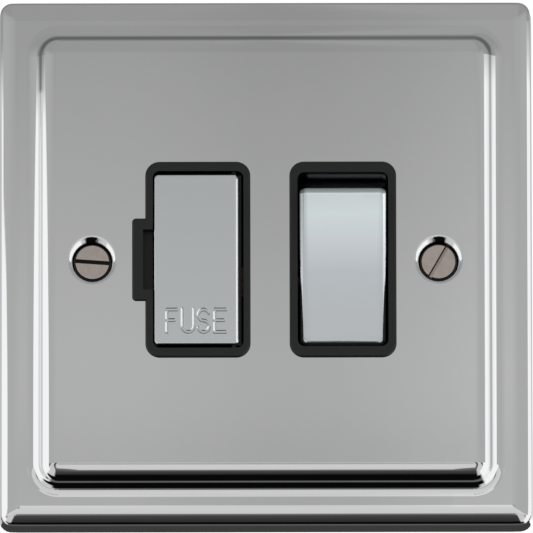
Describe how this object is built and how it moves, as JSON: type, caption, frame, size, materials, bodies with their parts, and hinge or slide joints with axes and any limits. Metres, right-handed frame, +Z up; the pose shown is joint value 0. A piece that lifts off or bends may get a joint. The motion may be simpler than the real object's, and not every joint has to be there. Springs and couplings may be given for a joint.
{
  "type": "fused spur unit",
  "caption": "Switched fused connection unit: square metal plate with a raised panel, a fuse carrier that tilts out, a rocker switch and wire terminals in a housing behind.",
  "frame": {"origin": "middle of the plate on the wall plane, between the two mounting screws", "axes": "+X right and +Z up as seen from the front, +Y into the wall along the mounting screws"},
  "size_m": [0.093, 0.0319, 0.093],
  "materials": {
    "polished_plate": "polished",
    "nickel_screw": "satin",
    "zinc_steel": "satin",
    "black_moulding": "satin",
    "black_housing": "matte",
    "satin_chrome": "satin",
    "nylon": "satin",
    "spring_steel": "polished",
    "copper_strip": "satin",
    "silver_contact": "satin",
    "brass_block": "satin",
    "terminal_steel": "satin",
    "fuse_ceramic": "matte",
    "fuse_caps": "satin"
  },
  "bodies": {
    "plate_and_housing": {"front_plate": "polished_plate", "mounting_screws": "nickel_screw", "plate_studs": "zinc_steel", "stud_nuts": "zinc_steel", "front_moulding": "black_moulding", "rear_housing": "black_housing", "housing_screws": "zinc_steel", "fixed_contact_live": "copper_strip", "fixed_contact_neutral": "copper_strip", "fixed_contact_buttons": "silver_contact", "live_cradle": "copper_strip", "neutral_cradle": "copper_strip", "load_fuse_contact": "copper_strip", "earth_strap": "copper_strip", "terminal_supply_live": "brass_block", "terminal_supply_neutral": "brass_block", "terminal_supply_earth": "brass_block", "terminal_load_live": "brass_block", "terminal_load_neutral": "brass_block", "terminal_load_earth": "brass_block"},
    "rocker": {"rocker_cap": "satin_chrome", "rocker_body": "black_moulding", "plunger_spring_live": "spring_steel", "plunger_spring_neutral": "spring_steel"},
    "fuse_carrier": {"fuse_carrier": "black_moulding", "fuse_cover": "satin_chrome", "fuse_tube": "fuse_ceramic", "fuse_end_caps": "fuse_caps"},
    "contact_arm_live": {"contact_arm_live": "copper_strip", "contact_tip_live": "silver_contact"},
    "plunger_live": {"plunger_live": "nylon"},
    "contact_arm_neutral": {"contact_arm_neutral": "copper_strip", "contact_tip_neutral": "silver_contact"},
    "plunger_neutral": {"plunger_neutral": "nylon"},
    "terminal_screw_supply_live": {"terminal_screw_supply_live": "terminal_steel"},
    "terminal_screw_supply_neutral": {"terminal_screw_supply_neutral": "terminal_steel"},
    "terminal_screw_supply_earth": {"terminal_screw_supply_earth": "terminal_steel"},
    "terminal_screw_load_live": {"terminal_screw_load_live": "terminal_steel"},
    "terminal_screw_load_neutral": {"terminal_screw_load_neutral": "terminal_steel"},
    "terminal_screw_load_earth": {"terminal_screw_load_earth": "terminal_steel"}
  },
  "joints": [
    {"name": "rocker_tilt", "type": "hinge", "parent": "plate_and_housing", "child": "rocker", "pos_m": [0.0135, -0.0008, 0], "axis": [-1, 0, 0], "range_deg": [0, 17]},
    {"name": "fuse_carrier_swing", "type": "hinge", "parent": "plate_and_housing", "child": "fuse_carrier", "pos_m": [-0.0054, -0.0086, 0], "axis": [0, 0, 1], "range_deg": [0, 60]},
    {"name": "contact_arm_live_swing", "type": "hinge", "parent": "plate_and_housing", "child": "contact_arm_live", "pos_m": [0.00875, 0.0112, 0], "axis": [1, 0, 0], "range_deg": [0, 18]},
    {"name": "plunger_live_slide", "type": "slide", "parent": "rocker", "child": "plunger_live", "axis": [0, -0.989, -0.1478], "range_m": [0, 0.0006], "stiffness_N_per_m": 300, "springref_m": -0.001, "deforming": ["plunger_spring_live"]},
    {"name": "contact_arm_neutral_swing", "type": "hinge", "parent": "plate_and_housing", "child": "contact_arm_neutral", "pos_m": [0.01825, 0.0112, 0], "axis": [1, 0, 0], "range_deg": [0, 18]},
    {"name": "plunger_neutral_slide", "type": "slide", "parent": "rocker", "child": "plunger_neutral", "axis": [0, -0.989, -0.1478], "range_m": [0, 0.0006], "stiffness_N_per_m": 300, "springref_m": -0.001, "deforming": ["plunger_spring_neutral"]},
    {"name": "terminal_screw_supply_live_travel", "type": "slide", "parent": "plate_and_housing", "child": "terminal_screw_supply_live", "axis": [0, -1, 0], "range_m": [0, 0.0034]},
    {"name": "terminal_screw_supply_neutral_travel", "type": "slide", "parent": "plate_and_housing", "child": "terminal_screw_supply_neutral", "axis": [0, -1, 0], "range_m": [0, 0.0034]},
    {"name": "terminal_screw_supply_earth_travel", "type": "slide", "parent": "plate_and_housing", "child": "terminal_screw_supply_earth", "axis": [0, -1, 0], "range_m": [0, 0.0034]},
    {"name": "terminal_screw_load_live_travel", "type": "slide", "parent": "plate_and_housing", "child": "terminal_screw_load_live", "axis": [0, -1, 0], "range_m": [0, 0.0034]},
    {"name": "terminal_screw_load_neutral_travel", "type": "slide", "parent": "plate_and_housing", "child": "terminal_screw_load_neutral", "axis": [0, -1, 0], "range_m": [0, 0.0034]},
    {"name": "terminal_screw_load_earth_travel", "type": "slide", "parent": "plate_and_housing", "child": "terminal_screw_load_earth", "axis": [0, -1, 0], "range_m": [0, 0.0034]}
  ],
  "couplings": [
    {"joint": "contact_arm_live_swing", "follows": "rocker_tilt", "ratio": 1.0588},
    {"joint": "contact_arm_neutral_swing", "follows": "rocker_tilt", "ratio": 1.0588}
  ]
}
